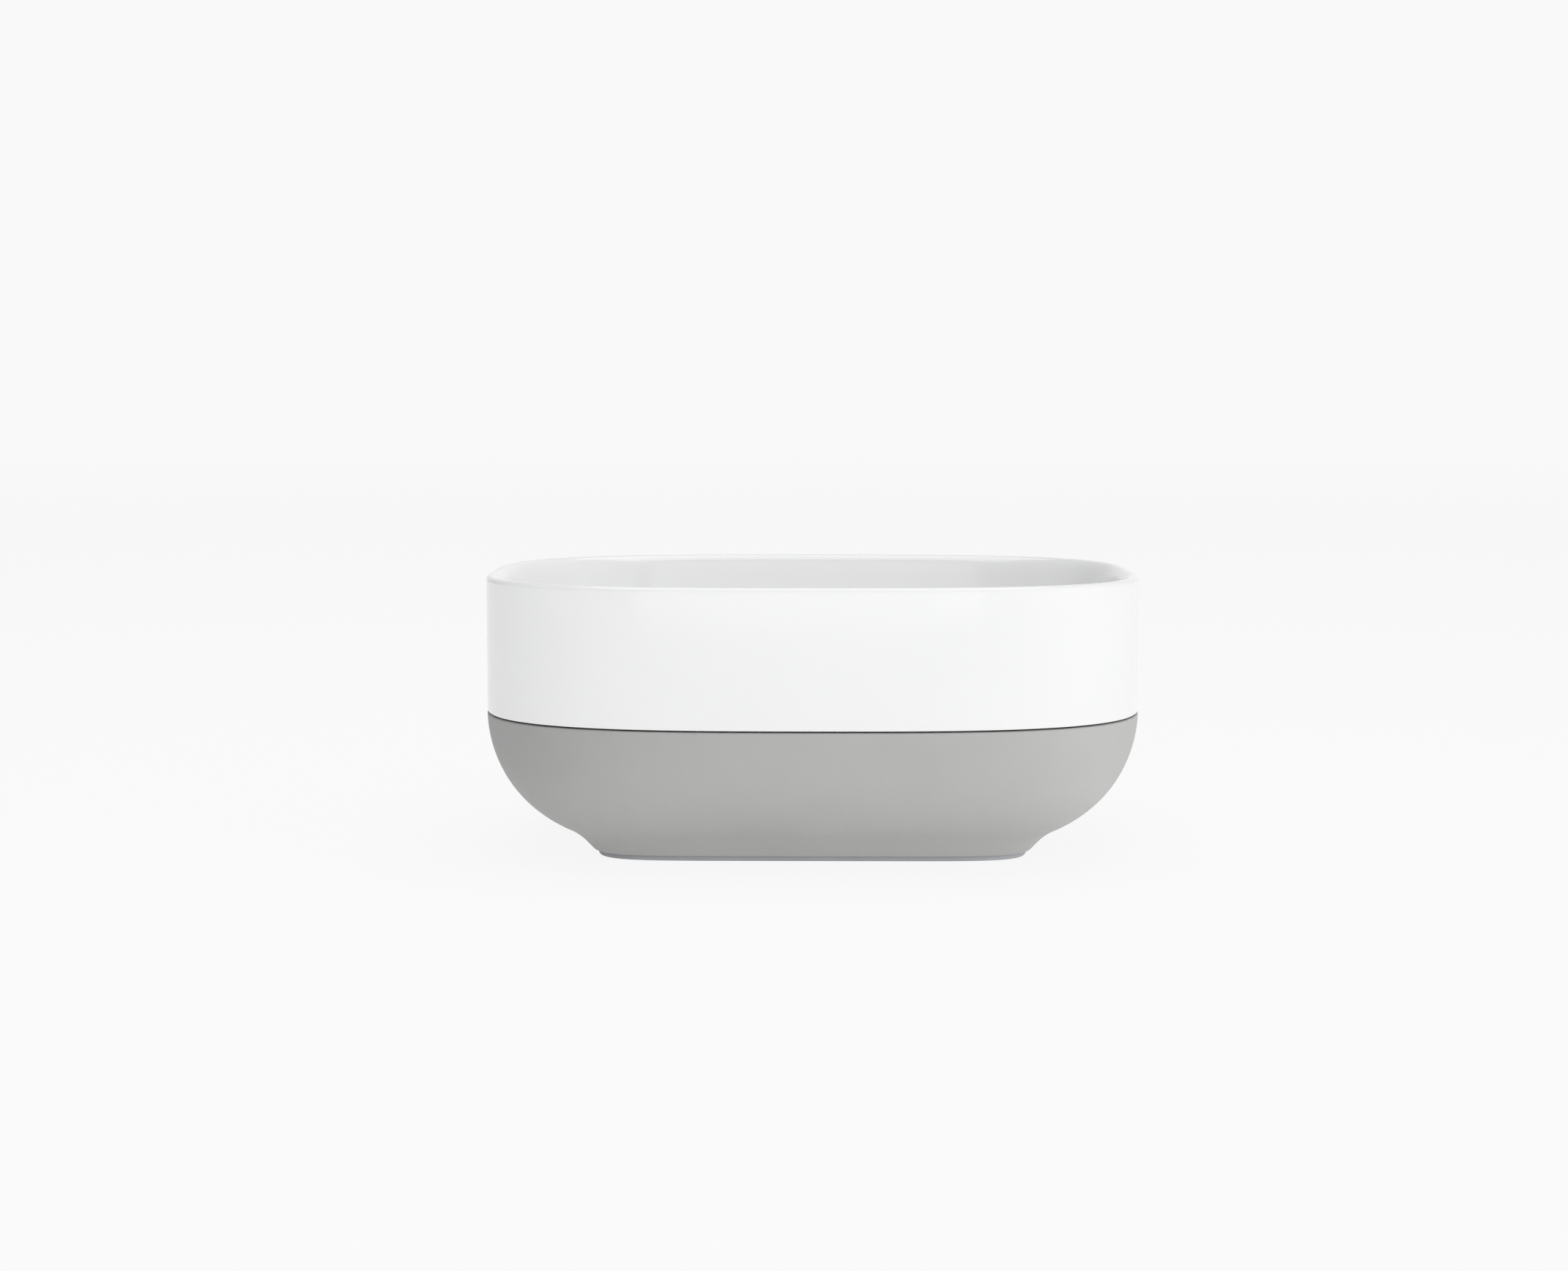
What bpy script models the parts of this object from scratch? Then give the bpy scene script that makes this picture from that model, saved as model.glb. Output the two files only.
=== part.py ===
"""A two-part soap dish: a draining dish that lifts off a water tray, which stands on a non-slip ring.

Each piece is a loft of superellipses. Its section is a list of stations, and a station is (inset, height,
squareness): how far the plan is drawn in from the widest outline, how high it lies above the surface that
the dish stands on, and how far it has gone from the rim's plan, 0, to the foot's squarer one, 1.
"""

import math

import bmesh
import bpy

# Overall sizes, in metres
LENGTH = 0.1150
WIDTH = 0.0820
HEIGHT = 0.0490
SEAM_HEIGHT = 0.0251

# Plan
RIM_EXPONENT = 3.1
FOOT_EXPONENT = 6.8
PLAN_POINTS = 64

# Clearances between pieces
SEAT_GAP = 0.0003
TONGUE_CLEARANCE = 0.00035
RING_GAP = 0.0003

# Lower tray: rim, belly, neck and foot
TRAY_WALL = 0.0020
TRAY_RIM_RADIUS = 0.0004
BELLY_DROP = 0.0061
BELLY_REACH = 0.0139
NECK_INSET = 0.0162
NECK_HEIGHT = 0.0043
NECK_SLOPE = math.radians(25.5)
NECK_BLEND = 0.0014
FOOT_INSET = 0.0188
FOOT_LIFT = 0.0009
FOOT_EDGE = 0.0005
FOOT_LAND = 0.0006
RECESS_HEIGHT = 0.0044
RECESS_DRAFT = 0.0010
RECESS_FILLET = 0.0010
RESERVOIR_BLEND = 0.0018

# Foot ring
RING_WIDTH = 0.0055
RING_SINK = 0.0012
RING_EDGE = 0.0003

# Upper dish: lip, bowl, skirt, and the tongue that drops into the tray
RIM_RADIUS = 0.0008
LIP_WIDTH = 0.0020
LIP_ROLL = 0.0050
BOWL_WALL = 0.0022
BOWL_FLOOR_HEIGHT = 0.0285
BOWL_FLOOR_INSET = 0.0190
BOWL_BLEND = 0.0130
SKIRT_WALL = 0.0020
SKIRT_EDGE = 0.0003
HOLLOW_WIDTH = 0.0014
TONGUE_WALL = 0.0016
TONGUE_DEPTH = 0.0040
TONGUE_EDGE = 0.0004
LEDGE_WALL = 0.0018

# Drain floor of the upper dish: raised ribs along the length, with rows of slots between them
RIB_PITCH = 0.0076
RIB_WIDTH = 0.0024
RIB_HEIGHT = 0.0020
RIB_CROWN = 0.0007
RIB_END_MARGIN = 0.0040
RIB_SIDE_MARGIN = 0.0060
SLOT_WIDTH = 0.0032
SLOT_LENGTH = 0.0170
SLOT_BRIDGE = 0.0060
SLOT_MARGIN = 0.0065
SLOT_CHAMFER = 0.0004

# How far a cutter or a joined shape runs past the face that it meets
OVERRUN = 0.0005

# Steps along curves
BELLY_STEPS = 8
BOWL_STEPS = 10
BLEND_STEPS = 3
EDGE_STEPS = 2
END_STEPS = 6

SMOOTH_ANGLE = math.radians(35)

# Colours and how rough each surface is
WHITE = (0.90, 0.91, 0.92, 1)
WHITE_ROUGHNESS = 0.22
GREY = (0.43, 0.43, 0.42, 1)
GREY_ROUGHNESS = 0.55
DARK_GREY = (0.33, 0.33, 0.34, 1)
DARK_GREY_ROUGHNESS = 0.80


# Sections

def bezier(start, first, second, end, steps):
    """Points of a cubic curve, its start and end included."""
    points = []
    for step in range(steps + 1):
        t = step / steps
        weights = ((1 - t) ** 3, 3 * (1 - t) ** 2 * t, 3 * (1 - t) * t**2, t**3)
        terms = list(zip(weights, (start, first, second, end)))
        points.append((sum(w * p[0] for w, p in terms), sum(w * p[1] for w, p in terms)))
    return points


def toward(start, end, distance):
    share = distance / math.dist(start[:2], end[:2])
    return tuple(a + (b - a) * share for a, b in zip(start, end))


def round_corner(section, index, radius, steps):
    """The section with one of its corners cut back by the radius on both sides and rounded."""
    corner = section[index]
    start = toward(corner, section[index - 1], radius)
    end = toward(corner, section[index + 1], radius)
    first = toward(start, corner, radius / 2)
    second = toward(end, corner, radius / 2)
    curve = [(*point, corner[2]) for point in bezier(start, first, second, end, steps)]
    return section[:index] + curve + section[index + 1 :]


def offset(section, distance):
    """The section moved to its left, seen along its direction of travel."""
    moved = []
    for index, (inset, height, square) in enumerate(section):
        before = section[max(index - 1, 0)]
        after = section[min(index + 1, len(section) - 1)]
        length = math.dist(before[:2], after[:2])
        inset -= (after[1] - before[1]) / length * distance
        height += (after[0] - before[0]) / length * distance
        moved.append((inset, height, square))
    return moved


def crossing(section, axis, value):
    """The station where the section first passes a value of its inset (axis 0) or height (axis 1)."""
    for start, end in zip(section, section[1:]):
        if (start[axis] - value) * (end[axis] - value) <= 0 and start[axis] != end[axis]:
            share = (value - start[axis]) / (end[axis] - start[axis])
            return tuple(a + (b - a) * share for a, b in zip(start, end))
    return section[-1]


# Objects

def plan(inset, square):
    """Points of one station's superellipse."""
    exponent = RIM_EXPONENT + (FOOT_EXPONENT - RIM_EXPONENT) * square
    points = []
    for index in range(PLAN_POINTS):
        angle = math.tau * index / PLAN_POINTS
        x = math.copysign(abs(math.cos(angle)) ** (2 / exponent), math.cos(angle))
        y = math.copysign(abs(math.sin(angle)) ** (2 / exponent), math.sin(angle))
        points.append(((LENGTH / 2 - inset) * x, (WIDTH / 2 - inset) * y))
    return points


def add_object(name, shape, material, parent, height=0):
    """An object of the shape, whose origin lies at the height on the part's axis."""
    bmesh.ops.recalc_face_normals(shape, faces=shape.faces)
    bmesh.ops.translate(shape, verts=shape.verts, vec=(0, 0, -height))
    mesh = bpy.data.meshes.new(name)
    shape.to_mesh(mesh)
    shape.free()
    mesh.shade_smooth()
    mesh.set_sharp_from_angle(angle=SMOOTH_ANGLE)
    if material:
        mesh.materials.append(material)
    result = bpy.data.objects.new(name, mesh)
    bpy.context.scene.collection.objects.link(result)
    result.parent = parent
    result.location.z = height - (parent.location.z if parent else 0)
    return result


def loft(section, closed=False):
    """A skin through the stations, with its first and last capped unless they join."""
    shape = bmesh.new()
    rings = []
    for inset, height, square in section:
        rings.append([shape.verts.new((x, y, height)) for x, y in plan(inset, square)])
    pairs = list(zip(rings, rings[1:]))
    if closed:
        pairs.append((rings[-1], rings[0]))
    else:
        shape.faces.new(rings[0])
        shape.faces.new(rings[-1])
    for low, high in pairs:
        for index in range(PLAN_POINTS):
            other = (index + 1) % PLAN_POINTS
            shape.faces.new((low[index], low[other], high[other], high[index]))
    return shape


def bars(places, length, width, levels):
    """Round-ended bars along X, one at each (x, y), through levels of (height, how much wider)."""
    shape = bmesh.new()
    for x, y in places:
        rings = []
        for height, grown in levels:
            radius = width / 2 + grown
            ring = []
            for end, turn in ((1, -math.pi / 2), (-1, math.pi / 2)):
                for step in range(END_STEPS + 1):
                    angle = turn + math.pi * step / END_STEPS
                    along = x + end * (length - width) / 2 + radius * math.cos(angle)
                    ring.append(shape.verts.new((along, y + radius * math.sin(angle), height)))
            rings.append(ring)
        shape.faces.new(rings[0])
        shape.faces.new(rings[-1])
        for low, high in zip(rings, rings[1:]):
            for index, vertex in enumerate(low):
                other = (index + 1) % len(low)
                shape.faces.new((vertex, low[other], high[other], high[index]))
    return shape


def add_material(name, colour, roughness):
    material = bpy.data.materials.new(name)
    material.use_nodes = True
    shader = material.node_tree.nodes["Principled BSDF"]
    shader.inputs["Base Color"].default_value = colour
    shader.inputs["Roughness"].default_value = roughness
    shader.inputs["Metallic"].default_value = 0
    material.diffuse_color = colour
    return material


def add_empty(name, parent, height=0):
    empty = bpy.data.objects.new(name, None)
    bpy.context.scene.collection.objects.link(empty)
    empty.parent = parent
    empty.location.z = height
    return empty


def combine(target, tool, operation):
    """Joins a helper to the target or cuts it out, and keeps the helper out of the render."""
    tool.hide_render = True
    tool.display_type = "WIRE"
    modifier = target.modifiers.new(tool.name, "BOOLEAN")
    modifier.operation = operation
    modifier.object = tool


# Lower tray

def belly():
    """The tray's outer side, from the seam down to the neck."""
    lean = (
        NECK_INSET - BELLY_REACH * math.cos(NECK_SLOPE),
        NECK_HEIGHT + BELLY_REACH * math.sin(NECK_SLOPE),
    )
    points = bezier(
        (0, SEAM_HEIGHT), (0, SEAM_HEIGHT - BELLY_DROP), lean, (NECK_INSET, NECK_HEIGHT), BELLY_STEPS
    )
    return [(inset, height, inset / NECK_INSET) for inset, height in points]


def reservoir():
    """The tray's inner side, one wall in from the belly, from the rim down to the edge of the flat floor."""
    floor = RECESS_HEIGHT + TRAY_WALL
    wall = offset(belly(), TRAY_WALL)
    wall[0] = (TRAY_WALL, SEAM_HEIGHT, 0)
    turn = crossing(wall, 1, floor + RESERVOIR_BLEND)
    upper = [station for station in wall if station[1] > turn[1]]
    slope = (turn[1] - upper[-1][1]) / (turn[0] - upper[-1][0])
    corner = (turn[0] + (floor - turn[1]) / slope, floor, 1)
    run = math.dist(turn[:2], corner[:2])
    edge = (corner[0] + run, floor, 1)
    first = toward(turn, corner, run / 2)
    second = toward(edge, corner, run / 2)
    blend = bezier(turn, first, second, edge, BLEND_STEPS)
    squares = [turn[2] + (1 - turn[2]) * step / BLEND_STEPS for step in range(BLEND_STEPS + 1)]
    return upper + [(*point, square) for point, square in zip(blend, squares)]


def ring_groove():
    """The insets of the foot ring's outer and inner side."""
    outer = FOOT_INSET + FOOT_LAND + RING_GAP
    return outer, outer + RING_WIDTH


def tray_section():
    ring_outer, ring_inner = ring_groove()
    groove_outer = ring_outer - RING_GAP
    groove_inner = ring_inner + RING_GAP
    groove_top = FOOT_LIFT + RING_SINK + RING_GAP
    land_end = groove_inner + FOOT_LAND
    inside = reservoir()[::-1]
    outside = belly()
    under = [
        (FOOT_INSET, FOOT_LIFT, 1),
        (groove_outer, FOOT_LIFT, 1),
        (groove_outer, groove_top, 1),
        (groove_inner, groove_top, 1),
        (groove_inner, FOOT_LIFT, 1),
        (land_end, FOOT_LIFT, 1),
        (land_end + RECESS_DRAFT, RECESS_HEIGHT, 1),
        (land_end + RECESS_DRAFT + 2 * RECESS_FILLET, RECESS_HEIGHT, 1),
    ]
    section = inside + outside + under
    # From the last corner to the first, so that the places of those still to come stay true
    section = round_corner(section, len(section) - 2, RECESS_FILLET, BLEND_STEPS)
    section = round_corner(section, len(inside + outside), FOOT_EDGE, EDGE_STEPS)
    section = round_corner(section, len(inside + outside) - 1, NECK_BLEND, BLEND_STEPS)
    section = round_corner(section, len(inside), TRAY_RIM_RADIUS, EDGE_STEPS)
    return round_corner(section, len(inside) - 1, TRAY_RIM_RADIUS, EDGE_STEPS)


def ring_section():
    outer, inner = ring_groove()
    top = FOOT_LIFT + RING_SINK
    return [
        (outer, RING_EDGE, 1),
        (outer, top, 1),
        (inner, top, 1),
        (inner, RING_EDGE, 1),
        (inner - RING_EDGE, 0, 1),
        (outer + RING_EDGE, 0, 1),
    ]


# Upper dish

def bowl():
    """The dish's upper side, from the top of the lip down to the edge of the flat drain floor."""
    points = bezier(
        (LIP_WIDTH, HEIGHT),
        (LIP_WIDTH + LIP_ROLL, HEIGHT),
        (BOWL_FLOOR_INSET - BOWL_BLEND, BOWL_FLOOR_HEIGHT),
        (BOWL_FLOOR_INSET, BOWL_FLOOR_HEIGHT),
        BOWL_STEPS,
    )
    depth = BOWL_FLOOR_INSET - LIP_WIDTH
    return [(inset, height, ((inset - LIP_WIDTH) / depth) ** 2) for inset, height in points]


def dish_section():
    seat = SEAM_HEIGHT + SEAT_GAP
    tongue_foot = crossing(reservoir(), 1, SEAM_HEIGHT - TONGUE_DEPTH)
    tongue_top = TRAY_WALL + TONGUE_CLEARANCE
    tongue_low = tongue_foot[0] + TONGUE_CLEARANCE
    ledge_inset = tongue_top + TONGUE_WALL
    ledge_top = seat + LEDGE_WALL
    bowl_under = offset(bowl(), -BOWL_WALL)
    hollow_top = crossing(bowl_under, 0, SKIRT_WALL + HOLLOW_WIDTH)
    inside = bowl()[::-1]
    outside = [
        (0, HEIGHT, 0),
        (0, seat, 0),
        (tongue_top, seat, 0),
        (tongue_low, tongue_foot[1], tongue_foot[2]),
        (tongue_low + TONGUE_WALL, tongue_foot[1], tongue_foot[2]),
        (ledge_inset, ledge_top, 0),
        (SKIRT_WALL, ledge_top + ledge_inset - SKIRT_WALL, 0),
        (SKIRT_WALL, hollow_top[1], 0),
        hollow_top,
    ]
    under = [station for station in bowl_under if station[1] < hollow_top[1]]
    section = inside + outside + under
    corner = len(inside)
    section = round_corner(section, corner + 3, TONGUE_EDGE, EDGE_STEPS)
    section = round_corner(section, corner + 1, SKIRT_EDGE, EDGE_STEPS)
    return round_corner(section, corner, RIM_RADIUS, BLEND_STEPS)


def centred(count, pitch):
    """Places of a row of that many, centred on zero."""
    return [(index - (count - 1) / 2) * pitch for index in range(count)]


def rib_rows():
    """The ribs' places across the width."""
    half_floor = WIDTH / 2 - BOWL_FLOOR_INSET - RIB_SIDE_MARGIN
    return centred(2 * math.floor(half_floor / RIB_PITCH) + 1, RIB_PITCH)


def ribs(parent):
    length = LENGTH - 2 * (BOWL_FLOOR_INSET + RIB_END_MARGIN)
    levels = [(BOWL_FLOOR_HEIGHT - OVERRUN, 0)]
    for step in range(EDGE_STEPS + 1):
        angle = math.pi / 2 * step / EDGE_STEPS
        rise = RIB_HEIGHT - RIB_CROWN * (1 - math.sin(angle))
        levels.append((BOWL_FLOOR_HEIGHT + rise, -RIB_CROWN * (1 - math.cos(angle))))
    shape = bars([(0, y) for y in rib_rows()], length, RIB_WIDTH, levels)
    return add_object("rib_helper", shape, None, parent, SEAM_HEIGHT + SEAT_GAP)


def slots(parent):
    room = LENGTH - 2 * (BOWL_FLOOR_INSET + SLOT_MARGIN)
    pitch = SLOT_LENGTH + SLOT_BRIDGE
    along = centred(math.floor((room + SLOT_BRIDGE) / pitch), pitch)
    across = centred(len(rib_rows()) - 1, RIB_PITCH)
    levels = [
        (BOWL_FLOOR_HEIGHT - BOWL_WALL - OVERRUN, 0),
        (BOWL_FLOOR_HEIGHT - SLOT_CHAMFER, 0),
        (BOWL_FLOOR_HEIGHT + OVERRUN, SLOT_CHAMFER + OVERRUN),
    ]
    shape = bars([(x, y) for y in across for x in along], SLOT_LENGTH, SLOT_WIDTH, levels)
    return add_object("slot_helper", shape, None, parent, SEAM_HEIGHT + SEAT_GAP)


# Assembly

def build():
    for old in list(bpy.data.objects):
        bpy.data.objects.remove(old, do_unlink=True)

    white = add_material("white_gloss_plastic", WHITE, WHITE_ROUGHNESS)
    grey = add_material("grey_matt_plastic", GREY, GREY_ROUGHNESS)
    dark = add_material("dark_elastomer", DARK_GREY, DARK_GREY_ROUGHNESS)

    base = add_empty("base", None)
    lift = add_empty("dish_lift", None, SEAM_HEIGHT + SEAT_GAP)
    add_object("lower_tray", loft(tray_section()), grey, base)
    add_object("foot_ring", loft(ring_section(), closed=True), dark, base)
    dish = add_object("upper_dish", loft(dish_section()), white, lift, SEAM_HEIGHT + SEAT_GAP)
    combine(dish, ribs(lift), "UNION")
    combine(dish, slots(lift), "DIFFERENCE")


build()
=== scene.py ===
"""The looks of a two-part soap dish: a glossy white draining dish on a matt grey tray with a foot ring."""

import math

import bmesh
import bpy
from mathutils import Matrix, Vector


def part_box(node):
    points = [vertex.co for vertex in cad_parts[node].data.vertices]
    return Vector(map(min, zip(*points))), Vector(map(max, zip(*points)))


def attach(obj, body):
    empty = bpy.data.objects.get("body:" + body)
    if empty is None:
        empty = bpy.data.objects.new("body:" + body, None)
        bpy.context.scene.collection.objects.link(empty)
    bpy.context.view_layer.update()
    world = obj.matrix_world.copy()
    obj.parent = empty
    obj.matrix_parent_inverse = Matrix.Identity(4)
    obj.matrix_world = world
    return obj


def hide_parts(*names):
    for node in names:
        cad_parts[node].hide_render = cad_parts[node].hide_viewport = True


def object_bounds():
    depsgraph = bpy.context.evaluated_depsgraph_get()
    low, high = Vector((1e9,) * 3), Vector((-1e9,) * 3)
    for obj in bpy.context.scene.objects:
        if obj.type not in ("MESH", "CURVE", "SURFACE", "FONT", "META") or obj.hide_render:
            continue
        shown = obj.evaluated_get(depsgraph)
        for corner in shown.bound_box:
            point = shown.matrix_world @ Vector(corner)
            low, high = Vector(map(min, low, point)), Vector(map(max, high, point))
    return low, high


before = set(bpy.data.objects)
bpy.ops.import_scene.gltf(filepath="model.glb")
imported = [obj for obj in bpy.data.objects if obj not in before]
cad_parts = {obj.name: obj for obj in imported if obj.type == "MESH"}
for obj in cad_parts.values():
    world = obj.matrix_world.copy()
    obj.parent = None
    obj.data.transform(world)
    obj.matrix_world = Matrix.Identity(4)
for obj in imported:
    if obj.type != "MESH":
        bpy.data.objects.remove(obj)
cad_low, cad_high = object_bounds()

# Sizes that come from the frame
LENGTH = cad_high.x - cad_low.x
WIDTH = cad_high.y - cad_low.y
HEIGHT = cad_high.z
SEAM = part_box("lower_tray")[1].z
FOOT_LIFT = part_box("lower_tray")[0].z
RING_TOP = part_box("foot_ring")[1].z
RING_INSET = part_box("foot_ring")[0].x - cad_low.x

# Plan: a superellipse at every height, squarer at the foot than at the rim
RIM_EXPONENT = 3.1
FOOT_EXPONENT = 6.8
PLAN_POINTS = 256

# Lower tray
TRAY_WALL = 0.0020
TRAY_RIM_RADIUS = 0.0003
BELLY_DROP = 0.0061
BELLY_REACH = 0.0139
NECK_INSET = 0.0162
NECK_HEIGHT = 0.0043
NECK_SLOPE = math.radians(25.5)
NECK_BLEND = 0.0021
FOOT_INSET = 0.0190
FOOT_EDGE = 0.0005
FOOT_LAND = 0.0006
RECESS_HEIGHT = 0.0044
RECESS_DRAFT = 0.0010
RECESS_FILLET = 0.0010
RESERVOIR_BLEND = 0.0018

# Foot ring
RING_GAP = 0.0003
RING_WIDTH = 0.0055
RING_EDGE = 0.0003

# Upper dish
SEAT_GAP = 0.0003
SEAT = SEAM + SEAT_GAP
RIM_RADIUS = 0.0008
LIP_WIDTH = 0.0012
LIP_ROLL = 0.0030
BOWL_WALL = 0.0022
BOWL_FLOOR = 0.0285
BOWL_FLOOR_INSET = 0.0190
BOWL_BLEND = 0.0130
SKIRT_WALL = 0.0020
SKIRT_EDGE = 0.0002
HOLLOW_WIDTH = 0.0014
TONGUE_WALL = 0.0016
TONGUE_DEPTH = 0.0040
TONGUE_CLEARANCE = 0.00035
TONGUE_EDGE = 0.0004
LEDGE_WALL = 0.0018

# Drain floor
RIB_PITCH = 0.0076
RIB_COUNT = 5
RIB_WIDTH = 0.0024
RIB_HEIGHT = 0.0020
RIB_CROWN = 0.0007
RIB_COVE = 0.0004
RIB_LENGTH = 0.0690
SLOT_WIDTH = 0.0032
SLOT_LENGTH = 0.0170
SLOT_PITCH = 0.0230
SLOTS_PER_ROW = 3
SLOT_ROUND = 0.0004
OVERRUN = 0.0005

# Fineness: steps along curves, and the least distance between two stations of a section
CURVE_STEPS = 40
BLEND_STEPS = 10
EDGE_STEPS = 6
END_STEPS = 16
LEAST_STEP = 0.000025

# A quarter circle's handles, as a share of its radius
ROUND_HANDLE = 0.55

# Shading, and the part of a noise's range that is spread over a surface's values
SMOOTH_ANGLE = math.radians(30)
NORMAL_WEIGHT = 80
NOISE_LOW = 0.3
NOISE_HIGH = 0.7
SMEAR_RATIO = 3
WAVE_SCALE = 55.0

# Camera, with lengths in the picture in pixels
IMAGE_WIDTH = 2141
FOCAL_PIXELS = 3413.4
DISH_CENTRE_X = 1109.4
SENSOR = 36.0
CAMERA_DISTANCE = 0.4475
CAMERA_HEIGHT = 0.08247
CAMERA_PITCH = 0.101
CLIP_NEAR = 0.01
CLIP_FAR = 100

# Backdrop and studio
BACKGROUND = 0.947
AMBIENT = 0.255
AMBIENT_RIGHT = 0.475
RIGHT_FOCUS = 1
AMBIENT_BACK = 0.66
BACK_FOCUS = 5

# Floor: the glow that lights the dish, and the one that is seen, which leaves a faint shadow
FLOOR_SIZE = 30
FLOOR_DROP = 0.0001
FLOOR_COLOUR = 0.85
FLOOR_GLOW_LEFT = 2.3
FLOOR_GLOW_RIGHT = 3.1
FLOOR_GLOW_REACH = 0.12
FLOOR_GLOW_SHARE = 0.2
FLOOR_SEEN = 0.968
FLOOR_SEEN_SHARE = 0.92
FLOOR_NEAR = 0.4
FLOOR_FAR = 2.5

# Lamps: azimuth 0 is in front and 90 on the right, and tilt 0 faces down, both in degrees
FILL_COLOUR = (0.96, 0.99, 1.05)
LAMPS = {
    "front_box": dict(azimuth=-0.9, distance=0.481, lift=0.35, tilt=90, size=(0.455, 0.70), power=0.83),
    "key_box": dict(azimuth=61, distance=0.60, lift=0.35, tilt=90, size=(0.66, 0.70), power=0.56),
    "fill_box": dict(
        azimuth=-95, distance=0.70, lift=0.35, tilt=90, size=(0.60, 0.70), power=0.33, colour=FILL_COLOUR
    ),
    "top_box": dict(azimuth=0, distance=0.0, lift=0.90, tilt=0, size=(0.80, 0.80), power=4.3),
    "tray_box": dict(azimuth=58, distance=0.60, lift=0.15, tilt=90, size=(0.30, 0.30), power=1.15),
}


# Sections, as lists of stations: inset from the rim's outline, height, and squareness from 0 to 1

def bezier(start, first, second, end, steps):
    """Points of inset and height along a cubic curve."""
    points = []
    for step in range(steps + 1):
        t = step / steps
        weights = ((1 - t) ** 3, 3 * (1 - t) ** 2 * t, 3 * (1 - t) * t**2, t**3)
        terms = list(zip(weights, (start, first, second, end)))
        points.append((sum(w * p[0] for w, p in terms), sum(w * p[1] for w, p in terms)))
    return points


def toward(start, end, distance):
    """The station at a distance from the start, on the way to the end."""
    share = distance / math.dist(start[:2], end[:2])
    return tuple(a + (b - a) * share for a, b in zip(start, end))


def round_corner(section, corner, radius, steps):
    """The section with one of its corners cut back by the radius on both sides and rounded."""
    index = section.index(corner)
    while math.dist(section[index - 1][:2], corner[:2]) < radius:
        section = section[: index - 1] + section[index:]
        index -= 1
    start = toward(corner, section[index - 1], radius)
    end = toward(corner, section[index + 1], radius)
    first = toward(start, corner, radius * ROUND_HANDLE)
    second = toward(end, corner, radius * ROUND_HANDLE)
    curve = []
    for step, point in enumerate(bezier(start, first, second, end, steps)):
        curve.append((*point, start[2] + (end[2] - start[2]) * step / steps))
    return section[:index] + curve + section[index + 1 :]


def round_corners(section, corners):
    """The section with each corner rounded that is given as (station, radius, steps)."""
    for station, radius, steps in corners:
        section = round_corner(section, station, radius, steps)
    return section


def offset(section, distance):
    """The section moved to its left, seen along its direction of travel."""
    moved = []
    for index, (inset, height, square) in enumerate(section):
        before = section[max(index - 1, 0)]
        after = section[min(index + 1, len(section) - 1)]
        length = math.dist(before[:2], after[:2])
        inset -= (after[1] - before[1]) / length * distance
        height += (after[0] - before[0]) / length * distance
        moved.append((inset, height, square))
    return moved


def crossing(section, axis, value):
    """The station where the section first passes a value of its inset (axis 0) or height (axis 1)."""
    for start, end in zip(section, section[1:]):
        if (start[axis] - value) * (end[axis] - value) <= 0 and start[axis] != end[axis]:
            share = (value - start[axis]) / (end[axis] - start[axis])
            return tuple(a + (b - a) * share for a, b in zip(start, end))
    return section[-1]


def drop_near(section):
    """The section without the stations that lie closer than the least step to the one before."""
    kept = [section[0]]
    for station in section[1:]:
        if math.dist(station[:2], kept[-1][:2]) >= LEAST_STEP:
            kept.append(station)
    return kept


def plan(inset, square):
    """The points round the dish at one station."""
    exponent = RIM_EXPONENT + (FOOT_EXPONENT - RIM_EXPONENT) * square
    points = []
    for index in range(PLAN_POINTS):
        angle = math.tau * index / PLAN_POINTS
        x = math.copysign(abs(math.cos(angle)) ** (2 / exponent), math.cos(angle))
        y = math.copysign(abs(math.sin(angle)) ** (2 / exponent), math.sin(angle))
        points.append(((LENGTH / 2 - inset) * x, (WIDTH / 2 - inset) * y))
    return points


# Making objects

def add_object(name, shape, material=None):
    bmesh.ops.recalc_face_normals(shape, faces=shape.faces)
    mesh = bpy.data.meshes.new(name)
    shape.to_mesh(mesh)
    shape.free()
    if material:
        mesh.materials.append(material)
    result = bpy.data.objects.new(name, mesh)
    bpy.context.scene.collection.objects.link(result)
    return result


def smooth(piece):
    """Smooth shading that keeps sharp edges sharp and flat faces flat."""
    piece.data.shade_smooth()
    piece.data.set_sharp_from_angle(angle=SMOOTH_ANGLE)
    modifier = piece.modifiers.new("weighted_normals", "WEIGHTED_NORMAL")
    modifier.keep_sharp = True
    modifier.weight = NORMAL_WEIGHT


def loft(section, closed=False):
    """A skin through the stations, with its first and last capped unless they join."""
    shape = bmesh.new()
    rings = []
    for inset, height, square in section:
        rings.append([shape.verts.new((x, y, height)) for x, y in plan(inset, square)])
    pairs = list(zip(rings, rings[1:]))
    if closed:
        pairs.append((rings[-1], rings[0]))
    else:
        shape.faces.new(rings[0])
        shape.faces.new(rings[-1])
    for low, high in pairs:
        for index in range(PLAN_POINTS):
            other = (index + 1) % PLAN_POINTS
            shape.faces.new((low[index], low[other], high[other], high[index]))
    return shape


def bars(places, length, width, levels):
    """Round-ended bars along X, one at each (x, y), through levels of (height, how much wider)."""
    shape = bmesh.new()
    for x, y in places:
        rings = []
        for height, grown in levels:
            radius = width / 2 + grown
            ring = []
            for end, turn in ((1, -math.pi / 2), (-1, math.pi / 2)):
                for step in range(END_STEPS + 1):
                    angle = turn + math.pi * step / END_STEPS
                    along = x + end * (length - width) / 2 + radius * math.cos(angle)
                    ring.append(shape.verts.new((along, y + radius * math.sin(angle), height)))
            rings.append(ring)
        shape.faces.new(rings[0])
        shape.faces.new(rings[-1])
        for low, high in zip(rings, rings[1:]):
            for index, vertex in enumerate(low):
                other = (index + 1) % len(low)
                shape.faces.new((vertex, low[other], high[other], high[index]))
    return shape


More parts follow.
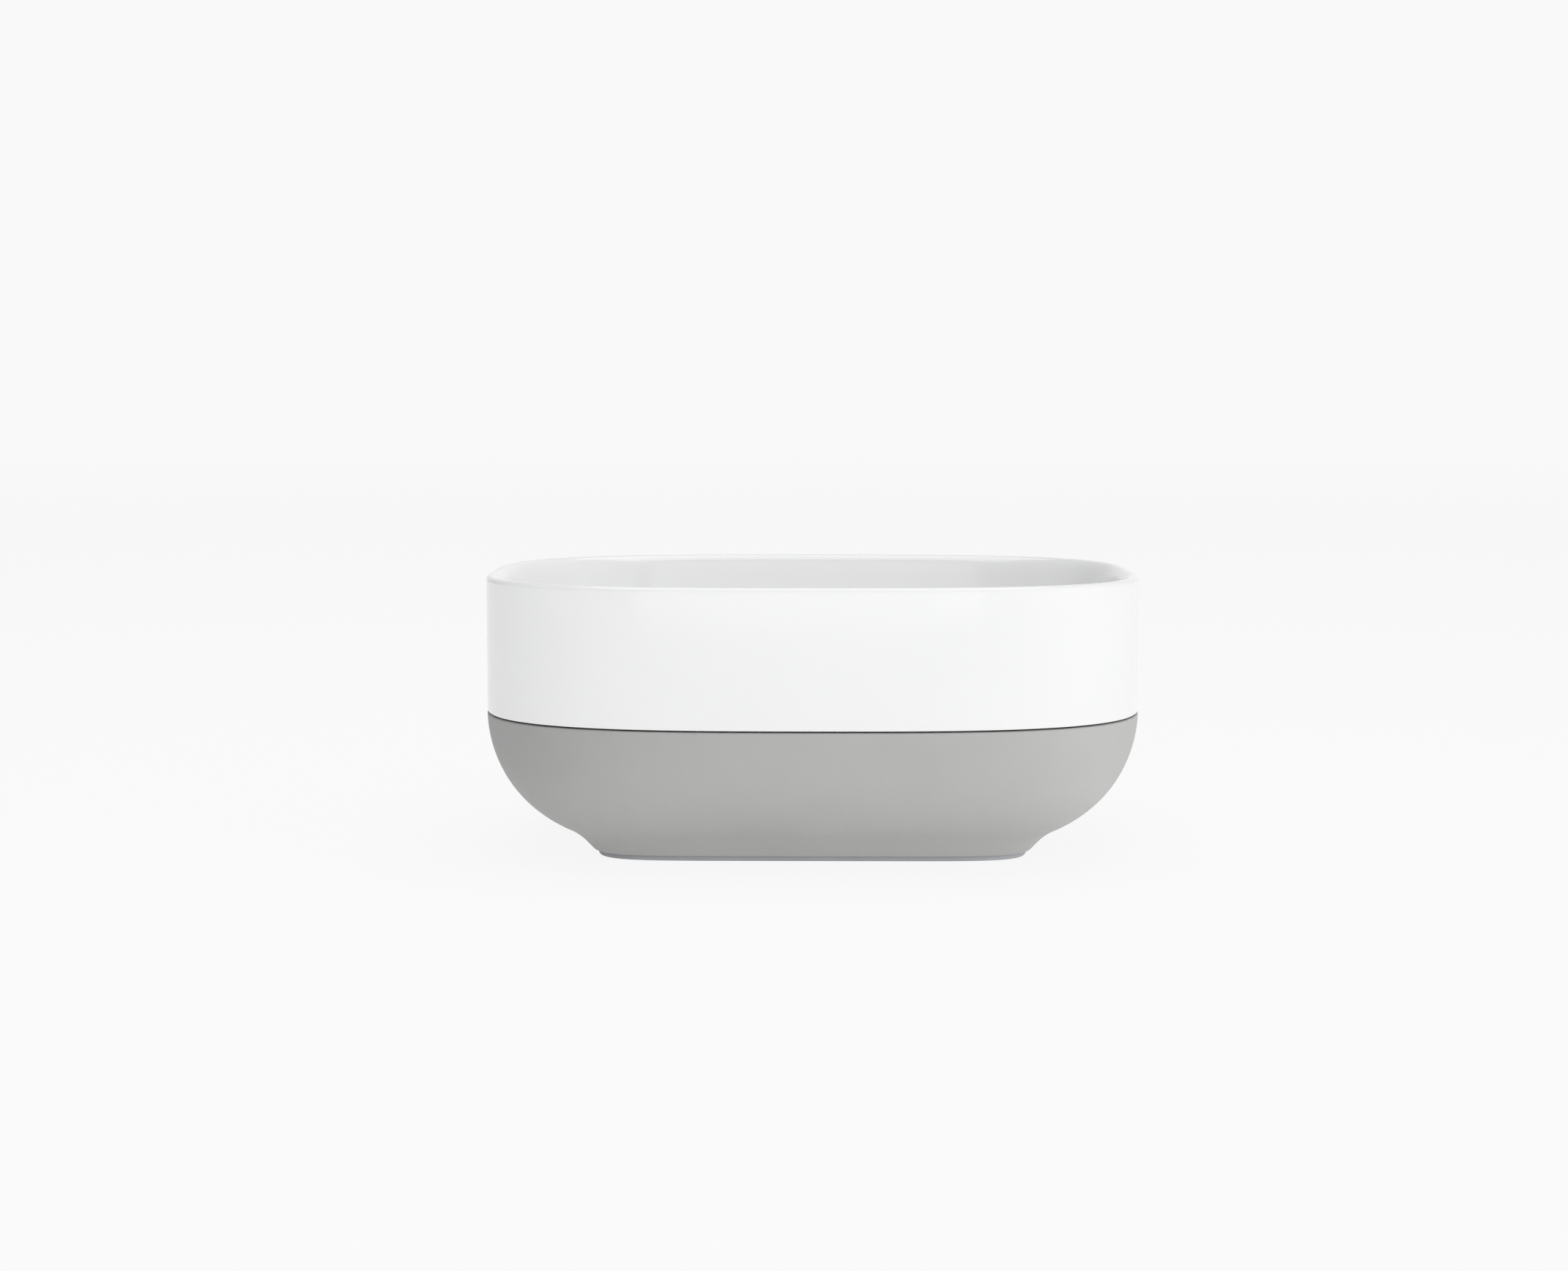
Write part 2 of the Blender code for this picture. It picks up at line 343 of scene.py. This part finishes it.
def combine(target, tool, operation):
    """Joins the tool to the target or cuts it out, for good, and deletes the tool."""
    modifier = target.modifiers.new(operation, "BOOLEAN")
    modifier.operation = operation
    modifier.object = tool
    graph = bpy.context.evaluated_depsgraph_get()
    result = bpy.data.meshes.new_from_object(target.evaluated_get(graph))
    target.modifiers.clear()
    target.data = result
    bpy.data.objects.remove(tool, do_unlink=True)


# Materials

def feed(tree, socket, value):
    """Sets a socket to a value or links another node's output to it."""
    if isinstance(value, bpy.types.NodeSocket):
        tree.links.new(value, socket)
    else:
        socket.default_value = value


def node(tree, kind, **inputs):
    """A new node whose inputs are fed by name, with underscores for spaces."""
    made = tree.nodes.new(kind)
    for name, value in inputs.items():
        feed(tree, made.inputs[name.replace("_", " ")], value)
    return made


def add_math(tree, operation, first, second):
    made = tree.nodes.new("ShaderNodeMath")
    made.operation = operation
    feed(tree, made.inputs[0], first)
    feed(tree, made.inputs[1], second)
    return made.outputs["Value"]


def ranged(tree, value, low, high, start, end):
    """The value between start and end that lies as the given one does between low and high."""
    made = node(
        tree, "ShaderNodeMapRange", Value=value, From_Min=low, From_Max=high, To_Min=start, To_Max=end
    )
    return made.outputs["Result"]


def noise(tree, place, scale, detail, rough):
    made = node(tree, "ShaderNodeTexNoise", Vector=place, Scale=scale, Detail=detail, Roughness=rough)
    return made.outputs["Fac"]


def moulded(
    name, light, dark, roughness, spread, mottle_scale, grain_scale, grain_depth, wave_depth, specular=0.5
):
    """Plastic with a faint mottle, uneven gloss, a slow moulding wave and a fine surface grain."""
    material = bpy.data.materials.new(name)
    material.use_nodes = True
    tree = material.node_tree
    place = tree.nodes.new("ShaderNodeTexCoord").outputs["Object"]

    mottle = noise(tree, place, mottle_scale, detail=4.0, rough=0.55)
    colour = node(tree, "ShaderNodeValToRGB", Fac=mottle)
    ends = ((NOISE_LOW, dark), (NOISE_HIGH, light))
    for element, (position, shade) in zip(colour.color_ramp.elements, ends):
        element.position = position
        element.color = (*shade, 1)

    smear = noise(tree, place, mottle_scale * SMEAR_RATIO, detail=5.0, rough=0.6)
    gloss = ranged(tree, smear, NOISE_LOW, NOISE_HIGH, roughness - spread, roughness + spread)

    wave = noise(tree, place, WAVE_SCALE, detail=1.0, rough=0.4)
    slow = node(tree, "ShaderNodeBump", Height=wave, Distance=wave_depth)
    grain = noise(tree, place, grain_scale, detail=3.0, rough=0.6)
    fine = node(tree, "ShaderNodeBump", Height=grain, Distance=grain_depth, Normal=slow.outputs["Normal"])

    shader = tree.nodes["Principled BSDF"]
    feed(tree, shader.inputs["Base Color"], colour.outputs["Color"])
    feed(tree, shader.inputs["Roughness"], gloss)
    feed(tree, shader.inputs["Normal"], fine.outputs["Normal"])
    feed(tree, shader.inputs["Specular IOR Level"], specular)
    return material


def white_gloss():
    return moulded(
        "white_gloss",
        light=(0.864, 0.865, 0.867),
        dark=(0.852, 0.854, 0.857),
        roughness=0.08,
        spread=0.02,
        mottle_scale=40.0,
        grain_scale=900.0,
        grain_depth=0.000002,
        wave_depth=0.00002,
    )


def grey_matt():
    return moulded(
        "grey_matt",
        light=(0.389, 0.393, 0.382),
        dark=(0.371, 0.375, 0.367),
        roughness=0.62,
        spread=0.05,
        mottle_scale=60.0,
        grain_scale=2600.0,
        grain_depth=0.00002,
        wave_depth=0.00001,
        specular=0.2,
    )


def dark_elastomer():
    return moulded(
        "dark_elastomer",
        light=(0.350, 0.359, 0.373),
        dark=(0.326, 0.335, 0.350),
        roughness=0.72,
        spread=0.06,
        mottle_scale=90.0,
        grain_scale=2000.0,
        grain_depth=0.00003,
        wave_depth=0.00001,
    )


# Lower tray

def belly():
    """The tray's outer side, from the seam down to the neck."""
    lean = (
        NECK_INSET - BELLY_REACH * math.cos(NECK_SLOPE),
        NECK_HEIGHT + BELLY_REACH * math.sin(NECK_SLOPE),
    )
    points = bezier((0, SEAM), (0, SEAM - BELLY_DROP), lean, (NECK_INSET, NECK_HEIGHT), CURVE_STEPS)
    return [(inset, height, inset / NECK_INSET) for inset, height in points]


def reservoir():
    """The tray's inner side, from the seam down to the floor and round onto it."""
    floor = RECESS_HEIGHT + TRAY_WALL
    wall = offset(belly(), TRAY_WALL)
    wall[0] = (TRAY_WALL, SEAM, 0)
    turn = crossing(wall, 1, floor + RESERVOIR_BLEND)
    upper = [station for station in wall if station[1] > turn[1]]
    slope = (turn[1] - upper[-1][1]) / (turn[0] - upper[-1][0])
    corner = (turn[0] + (floor - turn[1]) / slope, floor, 1)
    run = math.dist(turn[:2], corner[:2])
    edge = (corner[0] + run, floor, 1)
    first = toward(turn, corner, run / 2)
    second = toward(edge, corner, run / 2)
    blend = bezier(turn, first, second, edge, BLEND_STEPS)
    squares = [turn[2] + (1 - turn[2]) * step / BLEND_STEPS for step in range(BLEND_STEPS + 1)]
    return upper + [(*point, square) for point, square in zip(blend, squares)]


def tray_section():
    """From the reservoir's floor up to the rim, down the outside, and in under the foot."""
    groove_outer = RING_INSET - RING_GAP
    groove_inner = RING_INSET + RING_WIDTH + RING_GAP
    groove_top = RING_TOP + RING_GAP
    land_end = groove_inner + FOOT_LAND
    foot_corner = (FOOT_INSET, FOOT_LIFT, 1)
    recess_corner = (land_end + RECESS_DRAFT, RECESS_HEIGHT, 1)
    inside = reservoir()[::-1]
    outside = belly()
    under = [
        foot_corner,
        (groove_outer, FOOT_LIFT, 1),
        (groove_outer, groove_top, 1),
        (groove_inner, groove_top, 1),
        (groove_inner, FOOT_LIFT, 1),
        (land_end, FOOT_LIFT, 1),
        recess_corner,
        (land_end + RECESS_DRAFT + 2 * RECESS_FILLET, RECESS_HEIGHT, 1),
    ]
    corners = (
        (recess_corner, RECESS_FILLET, BLEND_STEPS),
        (foot_corner, FOOT_EDGE, EDGE_STEPS),
        (outside[-1], NECK_BLEND, BLEND_STEPS),
        (outside[0], TRAY_RIM_RADIUS, EDGE_STEPS),
        (inside[-1], TRAY_RIM_RADIUS, EDGE_STEPS),
    )
    return drop_near(round_corners(inside + outside + under, corners))


def make_tray():
    tray = add_object("tray_shell", loft(tray_section()), grey_matt())
    smooth(tray)
    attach(tray, "base")
    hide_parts("lower_tray")
    return tray


# Foot ring

def make_ring():
    inner = RING_INSET + RING_WIDTH
    first = (RING_INSET, RING_TOP, 1)
    others = [(inner, RING_TOP, 1), (inner, 0, 1), (RING_INSET, 0, 1)]
    corners = [(station, RING_EDGE, EDGE_STEPS) for station in others]
    section = round_corners([first, *others, first], corners)[:-1]
    ring = add_object("foot_ring_seal", loft(section, closed=True), dark_elastomer())
    smooth(ring)
    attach(ring, "base")
    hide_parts("foot_ring")
    return ring


# Upper dish

def bowl():
    """The dish's inner side, from the lip down to the drain floor."""
    points = bezier(
        (LIP_WIDTH, HEIGHT),
        (LIP_WIDTH + LIP_ROLL, HEIGHT),
        (BOWL_FLOOR_INSET - BOWL_BLEND, BOWL_FLOOR),
        (BOWL_FLOOR_INSET, BOWL_FLOOR),
        CURVE_STEPS,
    )
    depth = BOWL_FLOOR_INSET - LIP_WIDTH
    return [(inset, height, ((inset - LIP_WIDTH) / depth) ** 2) for inset, height in points]


def dish_section():
    """From the drain floor up over the lip, down the skirt and the tongue, and back under the bowl."""
    tongue_foot = crossing(reservoir(), 1, SEAM - TONGUE_DEPTH)
    tongue_top = TRAY_WALL + TONGUE_CLEARANCE
    tongue_low = tongue_foot[0] + TONGUE_CLEARANCE
    ledge_inset = tongue_top + TONGUE_WALL
    ledge_top = SEAT + LEDGE_WALL
    bowl_under = offset(bowl(), -BOWL_WALL)
    hollow_top = crossing(bowl_under, 0, SKIRT_WALL + HOLLOW_WIDTH)
    rim = (0, HEIGHT, 0)
    skirt_foot = (0, SEAT, 0)
    tongue_outer = (tongue_low, tongue_foot[1], tongue_foot[2])
    tongue_inner = (tongue_low + TONGUE_WALL, tongue_foot[1], tongue_foot[2])
    inside = bowl()[::-1]
    outside = [
        rim,
        skirt_foot,
        (tongue_top, SEAT, 0),
        tongue_outer,
        tongue_inner,
        (ledge_inset, ledge_top, 0),
        (SKIRT_WALL, ledge_top + ledge_inset - SKIRT_WALL, 0),
        (SKIRT_WALL, hollow_top[1], 0),
        hollow_top,
    ]
    under = [station for station in bowl_under if station[1] < hollow_top[1]]
    corners = (
        (tongue_inner, TONGUE_EDGE, EDGE_STEPS),
        (tongue_outer, TONGUE_EDGE, EDGE_STEPS),
        (skirt_foot, SKIRT_EDGE, EDGE_STEPS),
        (rim, RIM_RADIUS, BLEND_STEPS),
    )
    return drop_near(round_corners(inside + outside + under, corners))


def centred(count, pitch):
    """Places at a pitch, as many on one side of the middle as on the other."""
    return [(index - (count - 1) / 2) * pitch for index in range(count)]


def quarter_turn():
    """The cosine and sine at even steps through a right angle."""
    angles = [math.pi / 2 * step / EDGE_STEPS for step in range(EDGE_STEPS + 1)]
    return [(math.cos(angle), math.sin(angle)) for angle in angles]


def rib_shape():
    """Bars that rise from a cove in the floor to a rounded crown."""
    levels = [(BOWL_FLOOR - OVERRUN, RIB_COVE)]
    for cosine, sine in quarter_turn()[1:]:
        levels.append((BOWL_FLOOR + RIB_COVE * (1 - cosine), RIB_COVE * (1 - sine)))
    for cosine, sine in quarter_turn():
        rise = RIB_HEIGHT - RIB_CROWN * (1 - sine)
        levels.append((BOWL_FLOOR + rise, -RIB_CROWN * (1 - cosine)))
    return bars([(0, y) for y in centred(RIB_COUNT, RIB_PITCH)], RIB_LENGTH, RIB_WIDTH, levels)


def slot_shape():
    """Bars through the floor between the ribs, wider where they meet its two faces."""
    under = BOWL_FLOOR - BOWL_WALL
    levels = [(under - OVERRUN, SLOT_ROUND)]
    for cosine, sine in quarter_turn()[1:]:
        levels.append((under + SLOT_ROUND * (1 - cosine), SLOT_ROUND * (1 - sine)))
    for cosine, sine in quarter_turn()[:-1]:
        levels.append((BOWL_FLOOR - SLOT_ROUND * (1 - sine), SLOT_ROUND * (1 - cosine)))
    levels.append((BOWL_FLOOR + OVERRUN, levels[-1][1]))
    along = centred(SLOTS_PER_ROW, SLOT_PITCH)
    across = centred(RIB_COUNT - 1, RIB_PITCH)
    return bars([(x, y) for y in across for x in along], SLOT_LENGTH, SLOT_WIDTH, levels)


def make_dish():
    dish = add_object("dish_shell", loft(dish_section()), white_gloss())
    combine(dish, add_object("ribs", rib_shape()), "UNION")
    combine(dish, add_object("slots", slot_shape()), "DIFFERENCE")
    smooth(dish)
    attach(dish, "dish")
    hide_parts("upper_dish")


# Camera, light and floor

def make_camera():
    data = bpy.data.cameras.new("camera")
    data.sensor_width = SENSOR
    data.lens = SENSOR * FOCAL_PIXELS / IMAGE_WIDTH
    data.clip_start = CLIP_NEAR
    data.clip_end = CLIP_FAR
    camera = bpy.data.objects.new("camera", data)
    bpy.context.scene.collection.objects.link(camera)
    camera.location = (0, -CAMERA_DISTANCE, CAMERA_HEIGHT)
    yaw = math.atan((DISH_CENTRE_X - IMAGE_WIDTH / 2) / FOCAL_PIXELS)
    camera.rotation_euler = (math.pi / 2 - CAMERA_PITCH, 0, yaw)
    bpy.context.scene.camera = camera


def add_box(name, azimuth, distance, lift, tilt, size, power, colour=(1, 1, 1)):
    """A soft box turned towards the dish's axis, or down onto the dish."""
    data = bpy.data.lights.new(name, "AREA")
    data.shape = "RECTANGLE"
    data.size, data.size_y = size
    data.energy = power
    data.color = colour
    lamp = bpy.data.objects.new(name, data)
    bpy.context.scene.collection.objects.link(lamp)
    turn = math.radians(azimuth)
    lamp.location = (math.sin(turn) * distance, -math.cos(turn) * distance, lift)
    lamp.rotation_euler = (math.radians(tilt), 0, turn)
    lamp.visible_camera = False
    return lamp


def light_only(lamp, pieces):
    """Keeps a lamp's light to some of the pieces."""
    group = bpy.data.collections.new(lamp.name + "_receivers")
    for piece in pieces:
        group.objects.link(piece)
    lamp.light_linking.receiver_collection = group


def by_ray(tree, others, camera, mirrored=False):
    """One level for the camera's own rays, with mirrored ones if asked, and another for all the rest."""
    rays = tree.nodes.new("ShaderNodeLightPath").outputs
    chosen = rays["Is Camera Ray"]
    if mirrored:
        chosen = add_math(tree, "MAXIMUM", chosen, rays["Is Glossy Ray"])
    return ranged(tree, chosen, 0, 1, others, camera)


def make_world():
    """A plain backdrop for the camera, and for all other rays a studio that is brighter on some sides."""
    world = bpy.data.worlds.new("studio")
    bpy.context.scene.world = world
    world.use_nodes = True
    tree = world.node_tree
    place = tree.nodes.new("ShaderNodeTexCoord").outputs["Generated"]
    direction = node(tree, "ShaderNodeSeparateXYZ", Vector=place)
    total = AMBIENT
    for axis, amount, focus in (("X", AMBIENT_RIGHT, RIGHT_FOCUS), ("Y", AMBIENT_BACK, BACK_FOCUS)):
        facing = add_math(tree, "MAXIMUM", direction.outputs[axis], 0)
        lobe = add_math(tree, "MULTIPLY", add_math(tree, "POWER", facing, focus), amount)
        total = add_math(tree, "ADD", total, lobe)
    backdrop = tree.nodes["Background"]
    feed(tree, backdrop.inputs["Color"], (1, 1, 1, 1))
    feed(tree, backdrop.inputs["Strength"], by_ray(tree, total, BACKGROUND))


def floor_surface():
    """Pale and faintly glowing. The camera sees it brighter, fading into the backdrop with the distance."""
    material = bpy.data.materials.new("floor")
    material.use_nodes = True
    tree = material.node_tree
    tree.nodes.remove(tree.nodes["Principled BSDF"])
    place = tree.nodes.new("ShaderNodeTexCoord").outputs["Object"]
    across = node(tree, "ShaderNodeSeparateXYZ", Vector=place).outputs["X"]
    side = ranged(tree, across, -FLOOR_GLOW_REACH, FLOOR_GLOW_REACH, FLOOR_GLOW_LEFT, FLOOR_GLOW_RIGHT)
    length = tree.nodes.new("ShaderNodeVectorMath")
    length.operation = "LENGTH"
    feed(tree, length.inputs["Vector"], place)
    away = length.outputs["Value"]
    seen = ranged(tree, away, FLOOR_NEAR, FLOOR_FAR, FLOOR_SEEN, BACKGROUND)
    share = ranged(tree, away, FLOOR_NEAR, FLOOR_FAR, FLOOR_SEEN_SHARE, 1)
    matt = node(tree, "ShaderNodeBsdfDiffuse", Color=(FLOOR_COLOUR, FLOOR_COLOUR, FLOOR_COLOUR, 1))
    glow = node(tree, "ShaderNodeEmission", Strength=by_ray(tree, side, seen, mirrored=True))
    mix = node(tree, "ShaderNodeMixShader", Fac=by_ray(tree, FLOOR_GLOW_SHARE, share, mirrored=True))
    feed(tree, mix.inputs[1], matt.outputs["BSDF"])
    feed(tree, mix.inputs[2], glow.outputs["Emission"])
    feed(tree, tree.nodes["Material Output"].inputs["Surface"], mix.outputs["Shader"])
    return material


def make_floor():
    shape = bmesh.new()
    bmesh.ops.create_grid(shape, x_segments=1, y_segments=1, size=FLOOR_SIZE)
    floor = add_object("floor", shape, floor_surface())
    floor.location.z = -FLOOR_DROP


make_camera()
make_world()
lamps = {name: add_box(name, **values) for name, values in LAMPS.items()}
make_floor()
tray = make_tray()
ring = make_ring()
make_dish()
light_only(lamps["tray_box"], [tray, ring])
bpy.context.scene.view_settings.view_transform = "Standard"
